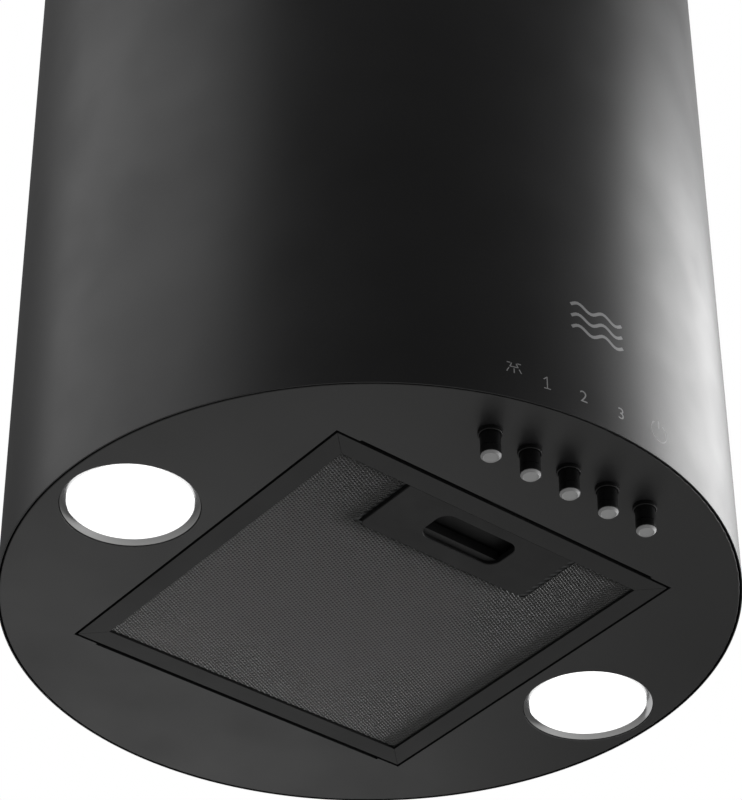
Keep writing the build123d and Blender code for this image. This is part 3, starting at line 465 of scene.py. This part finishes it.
def expanded_metal(low, high, long_way, short_way, half_width):
    """Sheet of diamonds between two corners, cut out round the filter's handle."""
    bm = bmesh.new()
    half_long = long_way * mm / 2
    rise = short_way * mm / 2
    margin = half_width * mm
    columns = int((high.x - low.x) / half_long)
    rows = int((high.y - low.y - 2 * margin) / (2 * rise))
    x0 = (low.x + high.x - columns * half_long) / 2
    y0 = low.y + margin
    left = int((handle_low.x - x0) / half_long)
    left -= left % 2
    right = columns - left
    right += right % 2
    beside = int((handle_high.y - y0) / (2 * rise)) + 1
    spans = (
        (x0, left, 0, beside),
        (x0 + right * half_long, columns - right, 0, beside),
        (x0, columns, beside, rows),
    )
    for x, count, first, last in spans:
        y = y0 + first * 2 * rise
        shape = (low.z, high.z, margin)
        pair = strand(bm, x, count, half_long, y, rise, *shape)
        pair += strand(bm, x, count, half_long, y + 2 * rise, -rise, *shape)
        for row in range(1, last - first):
            copy = bmesh.ops.duplicate(bm, geom=list(set(pair)))["geom"]
            verts = [part for part in copy if isinstance(part, bmesh.types.BMVert)]
            bmesh.ops.translate(bm, verts=verts, vec=(0, 2 * rise * row, 0))
    bmesh.ops.recalc_face_normals(bm, faces=bm.faces)
    return bm


sheet_rise = Vector((0, 0, 0.15 * mm))
front = expanded_metal(face_low, face_high - sheet_rise, 3.7, 1.75, 0.3)
put(front, "filter_front_mesh", strand_grey, "filter", "mesh_aluminium", "filter_face")
rear = expanded_metal(back_low, back_high, 9.0, 4.5, 0.6)
put(rear, "filter_rear_mesh", strand_grey, "filter", "mesh_aluminium", "filter_back")


# ---- buttons -------------------------------------------------------------------------------
for name in button_names:
    low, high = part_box(f"{name}_cap")
    middle = Vector(((low.x + high.x) / 2, (low.y + high.y) / 2, low.z))
    reach = (high.x - low.x) / 2
    tall = high.z - low.z
    bevel = 1.15 * mm
    ease = 0.15 * mm
    bore = 3.0 * mm
    skirt = bmesh.new()
    skirt_line = [
        (reach - bevel - 0.1 * mm, 1.0 * mm),
        (reach - ease, bevel + ease),
        (reach, bevel + 2 * ease),
        (reach, tall - 0.3 * mm),
        (reach - 0.3 * mm, tall),
        (bore, tall),
        (bore, 1.0 * mm),
    ]
    lathe(skirt, skirt_line, 48, where=Matrix.Translation(middle))
    put(skirt, f"{name}_skirt", button_black, name, "button_black")
    insert = bmesh.new()
    face_r = reach - bevel
    insert_line = [
        (0, ease),
        (face_r * 0.9, ease),
        (face_r * 0.94, 0),
        (face_r, 0),
        (reach - ease, bevel - ease),
        (reach - ease, bevel + ease * 0.9),
        (face_r - 0.2 * mm, 1.3 * mm),
        (0, 1.3 * mm),
    ]
    lathe(insert, insert_line, 48, closed=False, where=Matrix.Translation(middle))
    put(insert, f"{name}_insert", button_grey, name, "button_grey", f"{name}_cap")


# ---- screws with six-lobed sockets ---------------------------------------------------------
def lobed_screw(seat, out, head_r, head_h, shank_r, grip):
    """Pan head with a six-lobed socket and a plain shank below the seat."""
    bm = bmesh.new()
    sides = 36
    dome = [(0, -grip), (shank_r * 0.8, -grip), (shank_r, -grip + 0.2 * mm), (shank_r, 0), (head_r, 0)]
    dome += [(head_r, head_h * 0.35), (head_r * 0.9, head_h * 0.75), (head_r * 0.66, head_h * 0.97)]
    dome += [(head_r * 0.52, head_h), (head_r * 0.5, head_h * 0.99), (head_r * 0.46, head_h * 0.35)]
    dome += [(0, head_h * 0.35)]
    lathe(bm, dome, sides, closed=False)
    for vert in bm.verts:
        radius = Vector(vert.co.xy).length
        if 0.4 * head_r < radius < 0.51 * head_r and vert.co.z > 0:
            turn = Vector(vert.co.xy).angle_signed(Vector((1, 0)))
            vert.co.xy *= 1 - 0.16 * (1 + cos(6 * turn)) / 2
    bmesh.ops.transform(bm, matrix=facing(seat, out), verts=bm.verts)
    return bm


def islands(name):
    """Lowest and highest corners of each separate solid of a CAD node."""
    bm = bmesh.new()
    bm.from_mesh(nodes[name].data)
    bmesh.ops.remove_doubles(bm, verts=bm.verts, dist=1e-6)
    left = set(bm.verts)
    found = []
    while left:
        patch = [left.pop()]
        for vert in patch:
            near = {edge.other_vert(vert) for edge in vert.link_edges} & left
            left -= near
            patch += near
        low = Vector([min(vert.co[k] for vert in patch) for k in range(3)])
        high = Vector([max(vert.co[k] for vert in patch) for k in range(3)])
        found.append((low, high))
    bm.free()
    return sorted(found, key=lambda pair: tuple(round(value, 5) for value in pair[0]))


sleeve_screws = []
for low, high in islands("sleeve_screws"):
    middle = (low + high) / 2
    out = Vector((round(middle.x / hood_r), round(middle.y / hood_r), 0))
    tip = max(abs(low.x), abs(low.y), abs(high.x), abs(high.y))
    head_r = (high.z - low.z) / 2
    head_h = 1.6 * mm
    seat = out * (tip - head_h) + Vector((0, 0, middle.z))
    sleeve_screws.append(lobed_screw(seat, out, head_r, head_h, 2.0 * mm, 6.0 * mm))
put(joined(sleeve_screws), "sleeve_fixing_screws", plated_screw, "ceiling", "screw_steel", "sleeve_screws")


# ---- motor windings ------------------------------------------------------------------------
coils = []
for low, high in islands("motor_windings"):
    middle = (low + high) / 2
    outer = (high.z - low.z) / 2
    inner = outer - 9.5 * mm
    deep = high.x - low.x
    mid_r = (outer + inner) / 2
    half = (outer - inner) / 2
    loop = [
        (mid_r + half * cos(t) * 0.98, deep / 2 * sin(t) * 0.98)
        for t in [2 * pi * step / 12 for step in range(12)]
    ]
    ring = bmesh.new()
    lathe(ring, loop, 96)
    for vert in ring.verts:
        turn = Vector(vert.co.xy).angle_signed(Vector((1, 0)))
        waist = 0.82 + 0.18 * abs(sin(turn * 6)) ** 0.5
        out = Vector(vert.co.xy).normalized() * mid_r
        vert.co.x = out.x + (vert.co.x - out.x) * waist
        vert.co.y = out.y + (vert.co.y - out.y) * waist
        vert.co.z *= waist
    bmesh.ops.transform(ring, matrix=facing(middle, (1, 0, 0)), verts=ring.verts)
    coils.append(ring)
put(joined(coils), "winding_coils", copper_wire, "hood", "copper", "motor_windings")


# ---- floor, light and camera ---------------------------------------------------------------
room_floor_z = underside - 1.6
ground = bmesh.new()
bmesh.ops.create_grid(ground, x_segments=1, y_segments=1, size=6, matrix=Matrix.Translation((0, 0, room_floor_z)))
floor_mesh = bpy.data.meshes.new("floor")
ground.to_mesh(floor_mesh)
ground.free()
floor = bpy.data.objects.new("floor", floor_mesh)
bpy.context.scene.collection.objects.link(floor)
floor_mesh.materials.append(powder_coat("pale_floor", "#d8d8d6", "#dededc", 6, (0.7, 0.8), 0.02))

scene = bpy.context.scene
scene.view_settings.view_transform = "Standard"
world = bpy.data.worlds.new("studio")
scene.world = world
world.use_nodes = True
tree = world.node_tree
tree.nodes.clear()
seen = add(tree, "ShaderNodeBackground", None, {"Color": linear("#ffffff"), "Strength": 1.0})
fill = add(tree, "ShaderNodeBackground", None, {"Color": linear("#ffffff"), "Strength": 0.14})
ray = add(tree, "ShaderNodeLightPath")
both = add(tree, "ShaderNodeMixShader", None, {0: ray.outputs["Is Camera Ray"], 1: fill.outputs[0], 2: seen.outputs[0]})
add(tree, "ShaderNodeOutputWorld", None, {"Surface": both.outputs[0]})


def soft_light(name, place, aim, width, height, power):
    """Large soft box that looks at a point."""
    lamp = bpy.data.lights.new(name, "AREA")
    lamp.shape = "RECTANGLE"
    lamp.size = width
    lamp.size_y = height
    lamp.energy = power
    holder = bpy.data.objects.new(name, lamp)
    holder.location = place
    holder.rotation_euler = (Vector(aim) - Vector(place)).to_track_quat("-Z", "Y").to_euler()
    scene.collection.objects.link(holder)


hood_middle = Vector((0, 0, underside + 0.25))
soft_light("right_box", (1.9, -0.6, -0.35), hood_middle, 1.7, 2.2, 76)
soft_light("left_box", (-2.1, 0.85, 0.5), hood_middle, 3.2, 2.2, 27)
soft_light("low_box", (0.45, 0.95, underside - 0.45), (0, 0, underside), 0.6, 0.6, 0.75)

camera_turn = radians(38.58)
camera_rise = radians(37.76)
camera_roll = radians(-0.36)
camera_distance = 1.4143
aim = Vector((-106.0, -135.0, 0)) * mm + Vector((0, 0, underside))
ahead = Vector((sin(camera_turn) * cos(camera_rise), cos(camera_turn) * cos(camera_rise), sin(camera_rise)))
camera = bpy.data.objects.new("camera", bpy.data.cameras.new("camera"))
camera.data.lens = 140.15
camera.data.sensor_width = 36.0
camera.location = aim - ahead * camera_distance
camera.rotation_mode = "QUATERNION"
camera.rotation_quaternion = ahead.to_track_quat("-Z", "Y") @ Quaternion((0, 0, 1), camera_roll)
scene.collection.objects.link(camera)
scene.camera = camera
